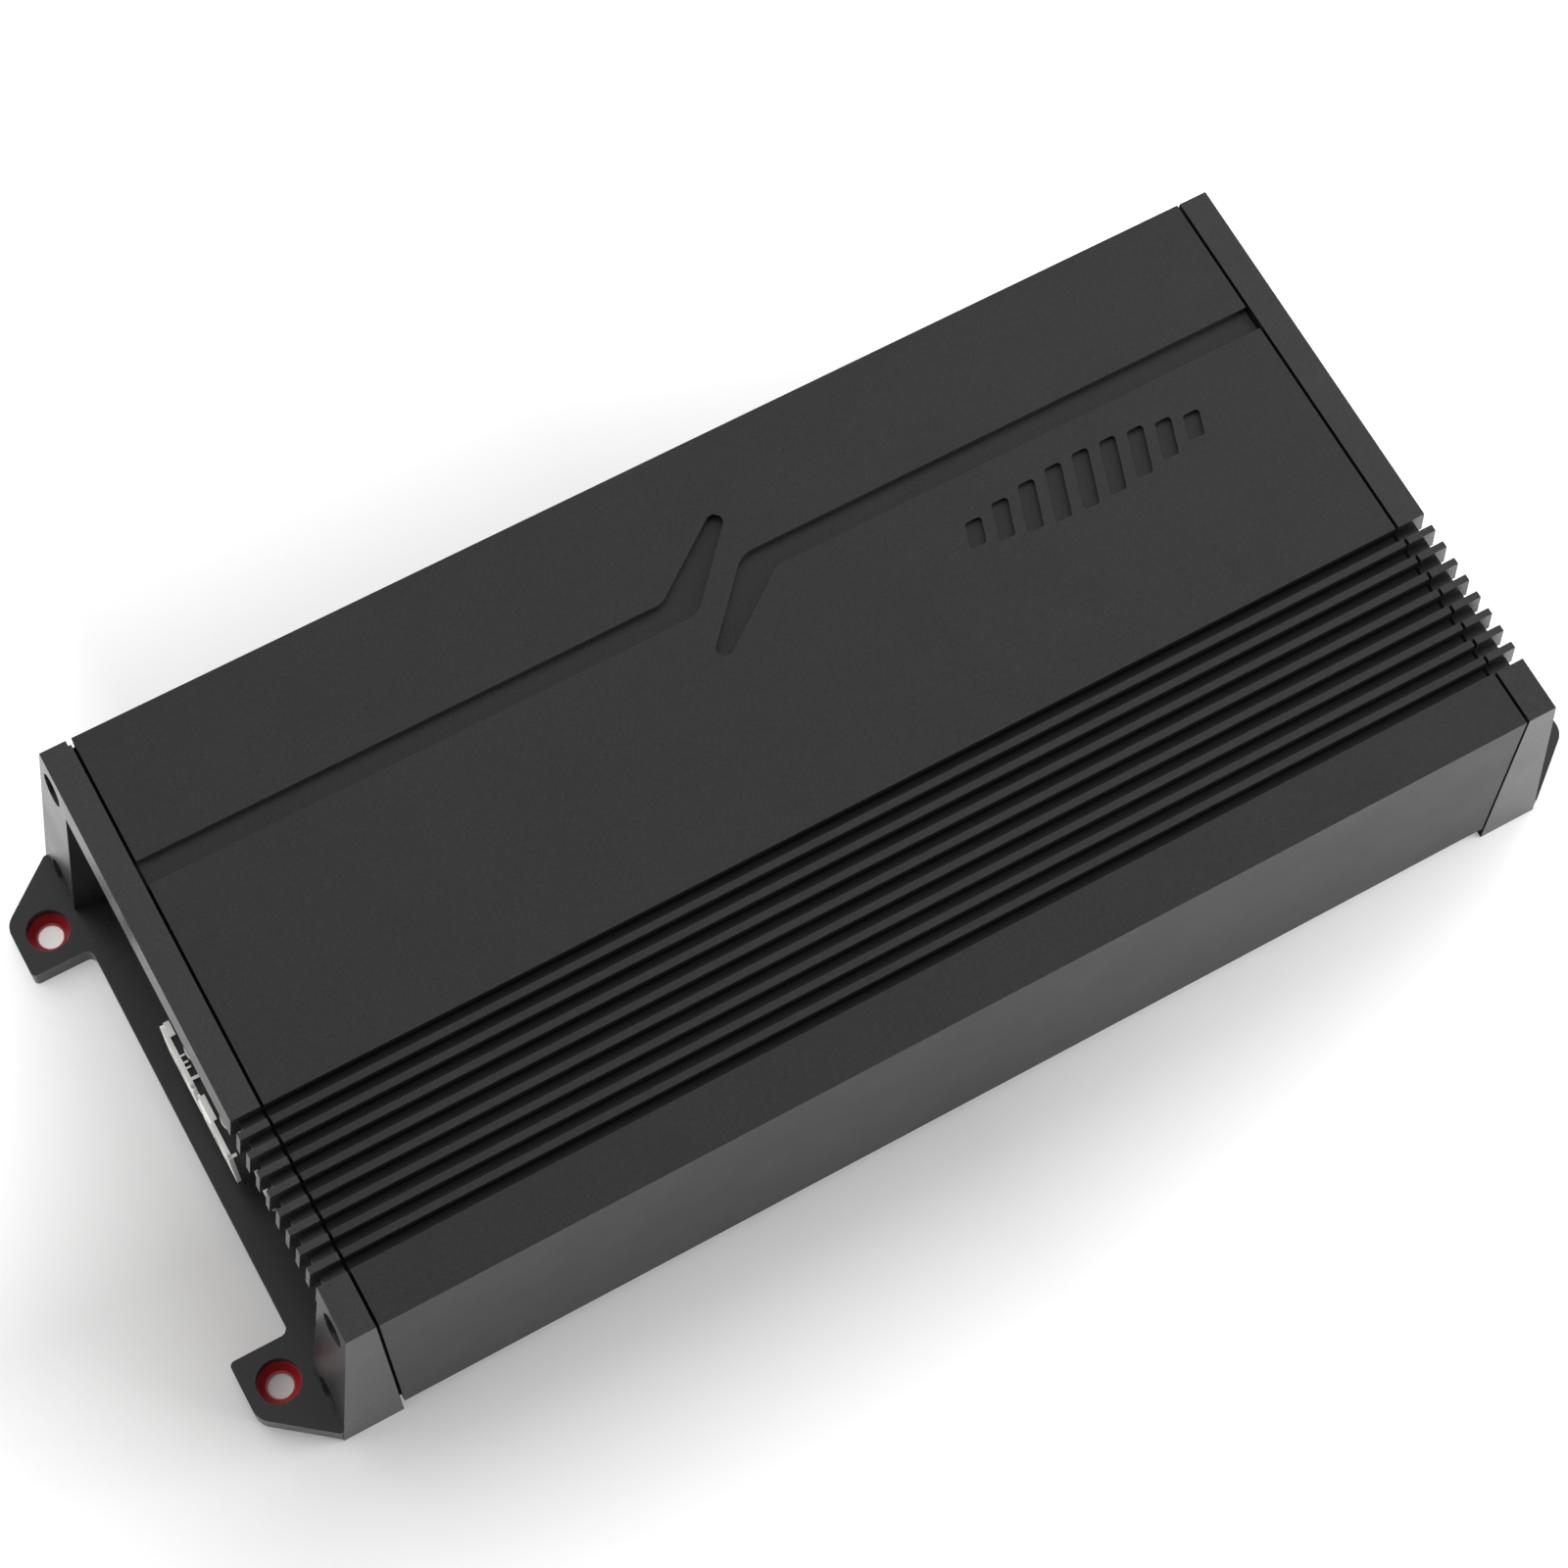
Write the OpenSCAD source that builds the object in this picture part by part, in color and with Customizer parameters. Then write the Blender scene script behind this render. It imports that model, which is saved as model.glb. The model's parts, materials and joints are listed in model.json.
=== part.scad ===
// Car amplifier: a finned heatsink shell between two end caps with mounting ears.
// X runs along the case, Y to the back, Z up. The origin is the middle of the mounting plane.
// The left end (-X) carries the power and speaker terminals, the right end (+X) the controls.

/* [Case] */
// Length of the top face, over both end caps
case_l = 240; // [240:1:250]
// Width of the top face
case_w = 120; // [120:1:124]
// Height from the mounting plane to the top face
case_h = 51.5; // [51.5:0.5:54]
// How far each long side leans out at its foot
side_lean = 2.3; // [1:0.1:3]
// How far each end leans out at its foot
end_lean = 6.3; // [6:0.1:7]
// Wall thickness of the shell at the top of its sides
wall_t = 4; // [3.8:0.1:4.2]
// Thickness of the shell's top plate
top_t = 5.5; // [5:0.1:6]

/* [Fins] */
// Number of fins
fin_count = 8; // [6:1:8]
// Distance from one fin to the next
fin_pitch = 3.775; // [3.6:0.005:3.9]
// Thickness of a fin
fin_t = 1.35; // [1.2:0.05:1.6]
// Depth of the grooves between the fins
groove_depth = 3.2; // [2.5:0.1:3.4]
// Width of the plain strip in front of the fins
front_strip = 10.9; // [10.5:0.1:11.5]

/* [Top decoration] */
// Depth of the two bent channels
channel_depth = 1.3; // [1:0.1:2]
// Depth of the level-meter badge
badge_depth = 0.8; // [0.5:0.1:1.2]
// Number of bars in the badge
badge_bars = 9; // [5:1:11]

/* [End caps] */
// Thickness of a cap at its top
cap_t = 5.65; // [5.5:0.05:6]
// Open seam between the shell and a cap
seam = 0.55; // [0.4:0.05:0.6]
// Height of the bar over the terminals
bar_h = 7; // [6.5:0.1:7.5]
// Width of a leg at its top
leg_w = 10.4; // [10:0.1:10.8]
// Thickness of the foot plate and its ears
foot_t = 4.5; // [4:0.1:4.5]
// How far the ears stand out past the foot plate
ear_reach = 11.8; // [11:0.1:14]
// Distance from the centre line to the inner edge of an ear
ear_inner = 41.2; // [40:0.1:42]
// How far the comb's slots run in from the tips of the fins
comb_open = 1.35; // [1:0.05:2]

/* [Mounting] */
// Hole spacing along the case
hole_dx = 263.5; // [263:0.5:264]
// Hole spacing across the case
hole_dy = 96.5; // [96:0.5:97]
// Bore of a bush, for a 4.2 mm screw
bush_bore = 4.8; // [4.5:0.1:5]
// Outside diameter of a bush
bush_d = 8.3; // [8:0.1:8.6]

/* [Power end] */
// Distance between the two big terminals
power_pitch = 14.6; // [14.6:0.1:15]
// Diameter of the hole for a power cable
power_wire_d = 8.4; // [7:0.1:8.6]
// Distance between the speaker terminals
speaker_pitch = 7.4; // [7.2:0.1:7.4]
// Diameter of the hole for a speaker wire
speaker_wire_d = 3.8; // [3:0.1:3.8]
// Width of a blade fuse
fuse_w = 19.1; // [19:0.1:19.2]
// Thickness of a blade fuse
fuse_t = 5.1; // [5:0.1:5.2]

/* [Control end] */
// Distance between the trim knobs
knob_pitch = 10; // [10:0.1:10.2]
// Diameter of a trim knob
knob_d = 6; // [5:0.1:6.2]
// Outside diameter of a phono jack
jack_d = 8.3; // [8.2:0.1:8.4]
// Distance between the phono jacks, both ways
jack_pitch = 14; // [13.5:0.1:14]

/* [Hidden] */
$fn = 48;
eps = 0.01;
far = 20;

// Case sections
cap_in_x = case_l / 2 - cap_t;
shell_end = cap_in_x - seam;
foot_x = case_l / 2 + end_lean;
foot_y = case_w / 2 + side_lean;
ear_x = foot_x + ear_reach;
shell_foot = 4.6;
inner_y = case_w / 2 - wall_t;
inner_z = case_h - top_t;
recess_y = case_w / 2 - leg_w;
bar_z = case_h - bar_h;
groove_w = fin_pitch - fin_t;
strip_y = front_strip - case_w / 2;
comb_x = case_l / 2 - comb_open;

// Screws that run through the caps into ports along the shell
port_y = 55.3;
port_z = [8.8, 45.4];
port_r = 1.5;
port_boss_r = 3.6;
screw_r = 1.4;
screw_head_r = 2.8;
screw_head_h = 2.2;
counterbore_r = 3.2;
counterbore_x = 117.4;
cap_screw_l = 14;

// Land inside each cap that bears on the end of the shell, set in from the seam
land_inset = 1.3;
land_gap = 0.05;

// Cover under the shell
cover_t = 1.2;
cover_y = 61.3;
cover_screw_x = [-100, 0, 100];
cover_screw_y = 58.8;

// Plates behind the recess at each end
spigot_x = 110.35;
spigot_t = 1.6;
spigot_gap = 0.15;
panel_t = 1.5;
panel_out = 110.3;
panel_in = panel_out - panel_t;
panel_y = 50.9;
panel_z = [5, 45.6];
window_gap = 0.2;

// Boards
board_z = 15;
board_t = 1.6;
board_top = board_z + board_t;
board_y = 54;
board_x = [-97.6, 108.4];
post_x = [-88, 0, 92];
post_y = 46.5;
post_r = 3;
preamp_z = 26;
preamp_top = preamp_z + board_t;
preamp_x = [84, 108.4];
preamp_y = [-17.5, 22.8];

// Power terminals
flange_x = [-122.4, -121.6];
flange_w = 13.7;
flange_corner = 1;
flange_z = [10.4, 25.6];
barrel_w = 11.4;
barrel_z = [11, 24.9];
barrel_in = -99;
wire_z = 17.2;
wire_depth = 16;
power_block_y = 14.6;
power_block_z = [10, 25.1];
block_in = -98;
power_screw_r = 3;
power_screw_x = -117.3;
power_screw_z = [21.6, 27];
remote_y = -19.2;
remote_w = 7;
remote_out = -119.2;
remote_barrel_z = [12, 20.6];
remote_wire_z = 15.6;
remote_wire_d = 3.4;
tail_t = 0.8;
tail_end = -91;

// Speaker terminals
speaker_y = 33.4;
speaker_count = 4;
speaker_out = -118.4;
speaker_block_z = [12, 24];
speaker_barrel_w = 5.4;
speaker_barrel_z = [12.8, 22.6];
speaker_wire_z = 16.2;
small_screw_r = 1.9;
small_screw_x = -114.6;

// Fuses, one over the other
fuse_y = -37.5;
fuse_z = [19.6, 30.8];
fuse_body_x = [-116, -107.3];
fuse_holder_x = [-110.6, -98];
fuse_holder_y = 11.1;
fuse_holder_z = [13.6, 36.8];
fuse_gap = 0.25;
blade_w = 5.2;
blade_t = 0.65;
blade_dy = 5.9;
blade_end = -100;

// Phono jacks
jack_y = -33;
jack_z = 30;
phono_block_x = [97, 108.7];
phono_block_z = [board_top, 43.8];
jack_out = 119.3;
jack_wall = 0.8;
jack_flange_r = 5.2;
jack_core_r = 1.7;

// Sockets
port_x = [97, 111];
remote_port_y = [23.2, 34.8];
remote_port_z = [board_top, 28.6];
remote_hole_y = 9.8;
remote_hole_z = 7.4;
socket_x = [99, 111.4];
socket_y = [37.6, 47.4];
socket_z = [board_top, 25.2];
socket_wall = 0.9;
socket_floor = 102;
pin_r = 0.5;
pin_z = (socket_z[0] + socket_z[1]) / 2;
pin_y = [for (i = [0:3]) (socket_y[0] + socket_y[1]) / 2 + (i - 1.5) * 2];

// Trim pots
pot_y = [for (i = [0:3]) (i - 1.2) * knob_pitch];
pot_z = 34;
pot_x = [101.6, 108.3];
pot_w = 9;
pot_top = 38.8;
pot_bore_r = 2.06;
stem_r = 2;
stem_x = 103.4;
knob_x = [108.5, 116.6];
knob_hole_r = knob_d / 2 + 0.5;

// Slide switches
switch_y = [-6, 12];
switch_z = 20.1;
switch_x = [102, 108.6];
switch_half = 6;
slider_w = 2.6;
slider_h = 2;
slider_x = [103.9, 113];
slider_travel = [2, 1.5];
slider_rest = [0, -1.5];
slider_gap = 0.25;

// Signal lights
light_y = [29, 36];
light_z = 36.5;
light_r = 1.5;

// Heavy parts on the main board
transformer_at = [-45, 8];
winding_r = [7.5, 17];
winding_h = 16.5;
core_r = [9.3, 15.2];
core_skin = 1.8;
choke_at = [36, 20];
choke_r = [4.5, 11.5];
choke_h = 11;
capacitor_r = 8;
capacitor_h = 25;
transistor_x = [-60:24:60];
transistor_y = [51, 55.5];
transistor_z = [19.6, 35];
transistor_w = 10;
lead_w = 0.8;
pad_half = 67;
pad_z = [18.6, 36];
clamp_y = [48, 51];
clamp_z = [25, 31];
clamp_half = 68;
clamp_screw_x = [-48, 0, 48];

// Extrude a YZ outline along X, between two X values
module along_x(x0, x1) {
    translate([x0, 0, 0]) rotate([90, 0, 90]) linear_extrude(x1 - x0) children();
}

// A box between two corners
module box(x, y, z) {
    translate([x[0], y[0], z[0]]) cube([x[1] - x[0], y[1] - y[0], z[1] - z[0]]);
}

// A rod along X
module rod_x(r, x0, x1, y, z) {
    translate([x0, y, z]) rotate([0, 90, 0]) cylinder(r = r, h = x1 - x0);
}

// A screw whose head stands at the origin and whose shank runs down -Z
module screw(length, r = screw_r, head_r = screw_head_r, head_h = screw_head_h) {
    socket_d = head_r * 0.95;
    difference() {
        union() {
            cylinder(r = head_r, h = head_h);
            translate([0, 0, -length]) cylinder(r = r, h = length + eps);
        }
        translate([0, 0, head_h * 0.45]) cylinder(d = socket_d, h = head_h, $fn = 6);
    }
}

// Round the corners of an outline; each point is [x, y, radius]
function unit(v) = v / norm(v);
function turn_side(a, b) = a.x * b.y - a.y * b.x > 0 ? -1 : 1;
function arc_at(before, at, after, r, steps) =
    let (
        u = unit(before - at),
        v = unit(after - at),
        half = acos(u * v) / 2,
        centre = at + unit(u + v) * r / sin(half),
        start = at + u * r / tan(half) - centre,
        a0 = atan2(start.y, start.x),
        sweep = turn_side(u, v) * (180 - 2 * half)
    )
    [for (i = [0:steps]) centre + r * [cos(a0 + sweep * i / steps), sin(a0 + sweep * i / steps)]];
function flat(p) = [p.x, p.y];
function rounded(points, steps = 8) =
    let (n = len(points))
    [
        for (i = [0:n - 1])
            each points[i][2] > 0
                ? arc_at(flat(points[(i + n - 1) % n]), flat(points[i]), flat(points[(i + 1) % n]),
                         points[i][2], steps)
                : [flat(points[i])]
    ];

// Lean of the long sides, shared by the shell and the caps
function side_at(z) = case_w / 2 + side_lean * (case_h - z) / case_h;

module side_outline(z0) {
    polygon([[-side_at(z0), z0], [side_at(z0), z0], [case_w / 2, case_h], [-case_w / 2, case_h]]);
}

// The same outline, drawn in by the same amount at its top and sides
module inner_outline(z0, inset) {
    top = case_h - inset;
    polygon([[inset - side_at(z0), z0], [side_at(z0) - inset, z0],
             [side_at(top) - inset, top], [inset - side_at(top), top]]);
}

module grooves(x0, x1) {
    for (i = [0:fin_count])
        box([x0, x1], [strip_y + i * fin_pitch, strip_y + i * fin_pitch + groove_w],
            [case_h - groove_depth, case_h + 1]);
}

// One bent channel: a straight run from the end of the shell, then a tapered finger to a round tip
module channel() {
    run = [-3.4, 1.65];
    bend_upper = -10.9;
    bend_lower = -6.2;
    tip = [5.2, 11.4];
    tip_r = 1.45;
    finger_dir = unit(tip - [(bend_upper + bend_lower) / 2, (run[0] + run[1]) / 2]);
    across = [-finger_dir.y, finger_dir.x];
    tip_end = tip + finger_dir * tip_r;
    linear_extrude(channel_depth + 1)
        polygon(rounded([
            [-case_l / 2, run[0], 0],
            [bend_lower, run[0], 5],
            concat(tip_end - across * tip_r * 1.02, tip_r),
            concat(tip_end + across * tip_r * 1.02, tip_r),
            [bend_upper, run[1], 4],
            [-case_l / 2, run[1], 0],
        ]));
}

// Level-meter bars, leaning forward, tallest in the middle
module badge() {
    pitch = 52 / badge_bars;
    bar_w = pitch * 0.6;
    lean = 0.35;
    corner = 0.7;
    for (i = [0:badge_bars - 1]) {
        bar = 4 + 7 * sin(180 * (i + 0.5) / badge_bars);
        x = 44.5 + i * pitch;
        y0 = 19 - bar / 2;
        shift = lean * bar;
        translate([x, y0, 0]) linear_extrude(badge_depth + 1)
            polygon(rounded([
                [-shift / 2, 0, corner],
                [bar_w - shift / 2, 0, corner],
                [bar_w + shift / 2, bar, corner],
                [shift / 2, bar, corner],
            ], 4));
    }
}

module heatsink_shell() {
    channel_centre = [0.6, 32, case_h - channel_depth];
    blind = 12;
    clamp_bore_end = 59.4;
    color("#2d2d2f") difference() {
        union() {
            along_x(-shell_end, shell_end) difference() {
                side_outline(shell_foot);
                translate([-inner_y, 0]) square([2 * inner_y, inner_z]);
            }
            for (side = [-1, 1], z = port_z)
                rod_x(port_boss_r, -shell_end, shell_end, side * port_y, z);
        }
        for (side = [-1, 1], z = port_z)
            rod_x(port_r, -shell_end - 1, shell_end + 1, side * port_y, z);
        for (x = cover_screw_x, side = [-1, 1])
            translate([x, side * cover_screw_y, 0]) cylinder(r = port_r, h = blind);
        for (x = clamp_screw_x, side = [-1, 1])
            translate([x, side * inner_y, clamp_z[0] + 3]) rotate([-90 * side, 0, 0])
                translate([0, 0, -1]) cylinder(r = port_r, h = clamp_bore_end - inner_y + 1);
        grooves(-shell_end - 1, shell_end + 1);
        translate(channel_centre) channel();
        translate(channel_centre) rotate([0, 0, 180]) channel();
        translate([0, 0, case_h - badge_depth]) badge();
    }
}

// The left cap: a bar on two legs, a foot plate and two ears. The right cap is its mirror image.
module end_cap() {
    ear_corner = 52.6;
    foot_edge = foot_y - 0.3;
    difference() {
        union() {
            intersection() {
                rotate([90, 0, 0]) linear_extrude(2 * foot_y + 2, center = true)
                    polygon([[-foot_x, 0], [-cap_in_x, 0], [-cap_in_x, case_h], [-case_l / 2, case_h]]);
                along_x(-foot_x - 1, 0) side_outline(0);
            }
            linear_extrude(foot_t) polygon(rounded([
                [-cap_in_x - 1, -foot_edge, 0],
                [-cap_in_x - 1, foot_edge, 0],
                [-foot_x, foot_edge, 0],
                [-ear_x, ear_corner, 4],
                [-ear_x, ear_inner, 1],
                [-foot_x, ear_inner, 1.5],
                [-foot_x, -ear_inner, 1.5],
                [-ear_x, -ear_inner, 1],
                [-ear_x, -ear_corner, 4],
                [-foot_x, -foot_edge, 0],
            ]));
            box([-cap_in_x - eps, -spigot_x], [-recess_y - spigot_t, recess_y + spigot_t],
                [shell_foot + spigot_gap, inner_z - spigot_gap]);
            along_x(-cap_in_x - eps, -shell_end - land_gap) inner_outline(foot_t - eps, land_inset);
        }
        box([-foot_x - far, -spigot_x + 1], [-recess_y, recess_y], [foot_t, bar_z]);
        grooves(-foot_x, -cap_in_x + 1);
        for (i = [0:fin_count])
            box([-foot_x, -comb_x], [strip_y + i * fin_pitch, strip_y + i * fin_pitch + groove_w],
                [bar_z - 1, case_h + 1]);
        for (side = [-1, 1], z = port_z) {
            rod_x(screw_r + 0.3, -foot_x, -spigot_x + 1, side * port_y, z);
            rod_x(counterbore_r, -foot_x - 1, -counterbore_x, side * port_y, z);
        }
        for (side = [-1, 1])
            translate([-hole_dx / 2, side * hole_dy / 2, -1]) cylinder(d = bush_d, h = foot_t + 2);
    }
}

module left_end_cap() {
    notch = 1.1;
    color("#343436") difference() {
        end_cap();
        translate([-cap_in_x - notch / 2, case_w / 2 - notch, foot_t]) cube([notch, far, case_h]);
    }
}

module right_end_cap() {
    color("#343436") mirror([1, 0, 0]) end_cap();
}

module bottom_cover() {
    color("#3a3b3d") difference() {
        box([-shell_end + 0.3, shell_end - 0.3], [-cover_y, cover_y],
            [shell_foot - cover_t, shell_foot]);
        for (x = cover_screw_x, side = [-1, 1])
            translate([x, side * cover_screw_y, 0]) cylinder(r = port_r + 0.1, h = far);
    }
}

// Red bush, sunk in an ear's hole: a dished mouth, a narrow ledge and a short bore
module mounting_bush(i) {
    sx = i <= 2 ? -1 : 1;
    sy = i % 2 == 0 ? 1 : -1;
    bush_z = [0.2, 2.4];
    bore_top = 0.8;
    ledge_r = bush_bore / 2 + 0.35;
    mouth_r = bush_d / 2 - 0.25;
    color("#b5262c") translate([sx * hole_dx / 2, sy * hole_dy / 2, bush_z[0]])
        rotate_extrude()
            polygon([
                [bush_bore / 2, 0],
                [bush_d / 2 - 0.02, 0],
                [bush_d / 2 - 0.02, bush_z[1] - bush_z[0]],
                [mouth_r, bush_z[1] - bush_z[0]],
                [ledge_r, bore_top],
                [bush_bore / 2, bore_top],
            ]);
}

module end_cap_screws() {
    color("#1d1d1f") for (end = [-1, 1], side = [-1, 1], z = port_z)
        translate([end * counterbore_x, side * port_y, z]) rotate([0, 90 * end, 0])
            screw(cap_screw_l);
}

module cover_screws() {
    length = 8;
    color("#1d1d1f") for (x = cover_screw_x, side = [-1, 1])
        translate([x, side * cover_screw_y, shell_foot - cover_t]) rotate([180, 0, 0])
            screw(length, head_r = 2.4, head_h = 0.8);
}

// Window in an end panel with clearance on every side
module window(y, z) {
    box([-far, far], [y[0] - window_gap, y[1] + window_gap], [z[0] - window_gap, z[1] + window_gap]);
}

module power_panel() {
    color("#1f1f21") translate([-panel_out, 0, 0]) difference() {
        box([0, panel_t], [-panel_y, panel_y], panel_z);
        window([-power_block_y, power_block_y], power_block_z);
        window([remote_y - remote_w / 2 - 1, -power_block_y],
               [power_block_z[0], remote_barrel_z[1] + 1.2]);
        window([speaker_y - 15, speaker_y + 15], speaker_block_z);
        window([fuse_y - fuse_holder_y, fuse_y + fuse_holder_y], fuse_holder_z);
    }
}

module control_panel() {
    color("#1f1f21") translate([panel_in, 0, 0]) difference() {
        box([0, panel_t], [-panel_y, panel_y], panel_z);
        for (row = [-1, 1], column = [-1, 1])
            rod_x(jack_d / 2 + 0.6, -far, far, jack_y + column * jack_pitch / 2,
                  jack_z + row * jack_pitch / 2);
        for (y = pot_y) rod_x(knob_hole_r, -far, far, y, pot_z);
        for (i = [0, 1]) {
            reach = slider_w / 2 + slider_travel[i] + 0.5;
            window([switch_y[i] - reach, switch_y[i] + reach],
                   [switch_z - slider_h / 2 - 0.3, switch_z + slider_h / 2 + 0.3]);
        }
        window(remote_port_y, remote_port_z);
        window(socket_y, socket_z);
        for (y = light_y) rod_x(light_r + 0.1, -far, far, y, light_z);
    }
}

module power_block() {
    small_y = [remote_y - remote_w / 2 - 1, -power_block_y + eps];
    color("#161617") difference() {
        union() {
            box([flange_x[1], block_in], [-power_block_y, power_block_y], power_block_z);
            box([remote_out + 0.6, block_in], small_y, [power_block_z[0], remote_barrel_z[1] + 1.2]);
        }
        for (side = [-1, 1]) {
            y = side * power_pitch / 2;
            box([flange_x[1] - 1, block_in + 1], [y - barrel_w / 2, y + barrel_w / 2], barrel_z);
            translate([power_screw_x, y, 0]) cylinder(r = power_screw_r + 0.3, h = far * 2);
        }
        box([remote_out - 1, block_in + 1], [remote_y - 3, remote_y + 3], remote_barrel_z);
        translate([small_screw_x, remote_y, 0]) cylinder(r = small_screw_r + 0.3, h = far * 2);
    }
}

// Nickel barrel with a wire hole, a threaded top hole and a tail soldered to the main board
module power_terminal(y) {
    tail_w = 6;
    difference() {
        union() {
            along_x(flange_x[0], flange_x[1]) polygon(rounded([
                [y - flange_w / 2, flange_z[0], flange_corner],
                [y + flange_w / 2, flange_z[0], flange_corner],
                [y + flange_w / 2, flange_z[1], flange_corner],
                [y - flange_w / 2, flange_z[1], flange_corner],
            ], 4));
            box([flange_x[1] - eps, barrel_in], [y - barrel_w / 2, y + barrel_w / 2], barrel_z);
            box([barrel_in - eps, tail_end], [y - tail_w / 2, y + tail_w / 2],
                [board_top, board_top + tail_t]);
        }
        rod_x(power_wire_d / 2, flange_x[0] - 1, flange_x[0] + wire_depth, y, wire_z);
        translate([power_screw_x, y, wire_z]) cylinder(r = power_screw_r, h = far);
    }
}

// Lug or rib behind the top edge of a flange, just above the block
module flange_rib(x_end, y) {
    box([flange_x[1] - eps, x_end], y, [power_block_z[1] + 0.05, flange_z[1]]);
}

module ground_terminal() {
    end_y = (power_pitch + flange_w) / 2;
    color("#c9c7c2") {
        power_terminal(power_pitch / 2);
        flange_rib(-120.5, [end_y - 3, end_y]);
        for (k = [6.9, 8.3, 9.4]) flange_rib(-120.7, [end_y - k - 0.35, end_y - k]);
        flange_rib(-119.6, [end_y - 12.1, end_y - 11.5]);
    }
}

module battery_terminal() {
    end_y = (flange_w - power_pitch) / 2;
    step = 0.35;
    color("#c9c7c2") {
        difference() {
            power_terminal(-power_pitch / 2);
            box([flange_x[0] - 1, flange_x[0] + step], [end_y - 6.2, end_y + 1], [22, far * 2]);
        }
        flange_rib(-120.9, [end_y - 6, end_y - 0.8]);
        flange_rib(-120.7, [end_y - flange_w, end_y - flange_w + 0.6]);
    }
}

// Smaller barrel, for the remote and speaker wires
module small_terminal(y, out, width, z, hole_z, hole_d, depth) {
    tail_w = 2.5;
    difference() {
        union() {
            box([out, barrel_in], [y - width / 2, y + width / 2], z);
            box([barrel_in - eps, tail_end], [y - tail_w / 2, y + tail_w / 2],
                [board_top, board_top + tail_t]);
        }
        rod_x(hole_d / 2, out - 1, out + depth, y, hole_z);
        translate([small_screw_x, y, hole_z]) cylinder(r = small_screw_r, h = far);
    }
}

module remote_terminal() {
    color("#c9c7c2") small_terminal(remote_y, remote_out, 6, remote_barrel_z, remote_wire_z,
                                    remote_wire_d, 12);
}

// Headless screw with a hexagon socket, between two heights
module set_screw(r, z, socket_d) {
    difference() {
        translate([0, 0, z[0]]) cylinder(r = r, h = z[1] - z[0]);
        translate([0, 0, z[1] - 2.5]) cylinder(d = socket_d, h = 3, $fn = 6);
    }
}

module terminal_set_screws() {
    color("#b8b6b0") {
        for (side = [-1, 1])
            translate([power_screw_x, side * power_pitch / 2, 0])
                set_screw(power_screw_r - 0.02, power_screw_z, 3.4);
        translate([small_screw_x, remote_y, 0]) set_screw(small_screw_r - 0.02, [17.6, 22.4], 2.2);
        for (i = [1:speaker_count])
            translate([small_screw_x, speaker_at(i), 0])
                set_screw(small_screw_r - 0.02, [18.3, 24.4], 2.2);
    }
}

function speaker_at(i) = speaker_y + (i - (speaker_count + 1) / 2) * speaker_pitch;

module speaker_block() {
    color("#161617") difference() {
        box([speaker_out + 0.6, block_in], [speaker_y - 15, speaker_y + 15], speaker_block_z);
        for (i = [1:speaker_count]) {
            y = speaker_at(i);
            box([speaker_out - 1, block_in + 1],
                [y - speaker_barrel_w / 2, y + speaker_barrel_w / 2], speaker_barrel_z);
            translate([small_screw_x, y, 0]) cylinder(r = small_screw_r + 0.2, h = far * 2);
        }
    }
}

module speaker_terminal(i) {
    color("#c9c7c2") small_terminal(speaker_at(i), speaker_out, speaker_barrel_w, speaker_barrel_z,
                                    speaker_wire_z, speaker_wire_d, 12);
}

// Holder for two blade fuses that pull out along -X
module fuse_holder() {
    slot_end = blade_end + 0.8;
    color("#1b1b1d") difference() {
        union() {
            box(fuse_holder_x, [fuse_y - fuse_holder_y, fuse_y + fuse_holder_y], fuse_holder_z);
            box([fuse_holder_x[1] - eps, -92.5], [fuse_y - 6, fuse_y + fuse_holder_y],
                [board_top, board_top + 4]);
        }
        for (z = fuse_z) {
            box([fuse_holder_x[0] - 1, fuse_body_x[1] + 0.05],
                [fuse_y - fuse_w / 2 - fuse_gap, fuse_y + fuse_w / 2 + fuse_gap],
                [z - fuse_t / 2 - fuse_gap, z + fuse_t / 2 + fuse_gap]);
            for (side = [-1, 1])
                box([fuse_holder_x[0] - 1, slot_end],
                    [fuse_y + side * blade_dy - blade_w / 2 - 0.2,
                     fuse_y + side * blade_dy + blade_w / 2 + 0.2],
                    [z - blade_t / 2 - 0.2, z + blade_t / 2 + 0.2]);
        }
    }
}

// Body of a blade fuse: a wide grip at the outer end, a slimmer waist, a window over the link
module fuse_body(i) {
    grip = 2.4;
    waist = 2.1;
    z = fuse_z[i - 1];
    color([0.93, 0.92, 0.88, 0.8]) difference() {
        union() {
            box([fuse_body_x[0], fuse_body_x[0] + grip], [fuse_y - fuse_w / 2, fuse_y + fuse_w / 2],
                [z - fuse_t / 2, z + fuse_t / 2]);
            box([fuse_body_x[0] + grip - eps, fuse_body_x[1]],
                [fuse_y - fuse_w / 2 + waist / 2, fuse_y + fuse_w / 2 - waist / 2],
                [z - fuse_t / 2 + 0.4, z + fuse_t / 2 - 0.4]);
        }
        for (side = [-1, 1])
            box([fuse_body_x[0] + 1.2, fuse_body_x[1] + 1],
                [fuse_y + side * blade_dy - blade_w / 2, fuse_y + side * blade_dy + blade_w / 2],
                [z - blade_t / 2, z + blade_t / 2]);
        box([fuse_body_x[0] + 3, fuse_body_x[0] + 5.2], [fuse_y - blade_dy, fuse_y + blade_dy],
            [z - blade_t / 2, z + blade_t / 2]);
    }
}

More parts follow.
